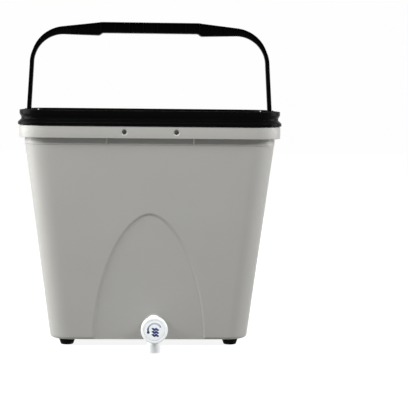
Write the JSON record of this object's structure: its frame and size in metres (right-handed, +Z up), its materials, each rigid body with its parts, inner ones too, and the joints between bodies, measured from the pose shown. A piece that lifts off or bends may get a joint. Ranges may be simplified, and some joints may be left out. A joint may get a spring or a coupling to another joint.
{
  "type": "bokashi bin",
  "caption": "Tapered kitchen fermenting bin with a press-on airtight lid, a folding carry handle, a drain plate on legs inside, and a quarter-turn tap low in the front wall.",
  "frame": {"origin": "middle of the whole object's box, on the surface that its feet stand on", "axes": "+Z up, -Y towards the front with the tap, +X to the right seen from the front"},
  "size_m": [0.3586, 0.2902, 0.4492],
  "materials": {
    "grey_plastic": "moulded satin polypropylene",
    "black_plastic": "moulded satin polypropylene",
    "white_plastic": "moulded gloss acetal",
    "dark_grey_plastic": "moulded matt polypropylene",
    "black_rubber": "matt rubber",
    "seal_rubber": "silicone rubber",
    "pin_steel": "plain turned steel"
  },
  "bodies": {
    "bin": {"bucket": "grey_plastic", "foot_front_left": "black_rubber", "foot_front_right": "black_rubber", "foot_back_left": "black_rubber", "foot_back_right": "black_rubber", "tap_body": "white_plastic", "outer_washer": "seal_rubber", "inner_washer": "seal_rubber", "tap_nut": "white_plastic", "tap_filter": "dark_grey_plastic"},
    "lid": {"lid": "black_plastic", "lid_gasket": "seal_rubber", "handle_pin_left": "pin_steel", "handle_pin_right": "pin_steel"},
    "handle": {"carry_handle": "black_plastic"},
    "valve": {"valve_plug": "white_plastic", "plug_o_ring_front": "seal_rubber", "plug_o_ring_back": "seal_rubber", "tap_knob": "white_plastic", "knob_cap": "white_plastic"},
    "plate": {"drain_plate": "dark_grey_plastic"}
  },
  "joints": [
    {"name": "lid_lift", "type": "slide", "parent": "bin", "child": "lid", "axis": [0, 0, 1], "range_m": [0, 0.15]},
    {"name": "handle_swing", "type": "hinge", "parent": "lid", "child": "handle", "pos_m": [0, 0.01176, 0.3224], "axis": [1, 0, 0], "range_deg": [-86, 86]},
    {"name": "knob_turn", "type": "hinge", "parent": "bin", "child": "valve", "pos_m": [0.0067, -0.0827, 0.0346], "axis": [0, 1, 0], "range_deg": [0, 90]},
    {"name": "plate_lift", "type": "slide", "parent": "bin", "child": "plate", "axis": [0, 0, 1], "range_m": [0, 0.23]}
  ]
}
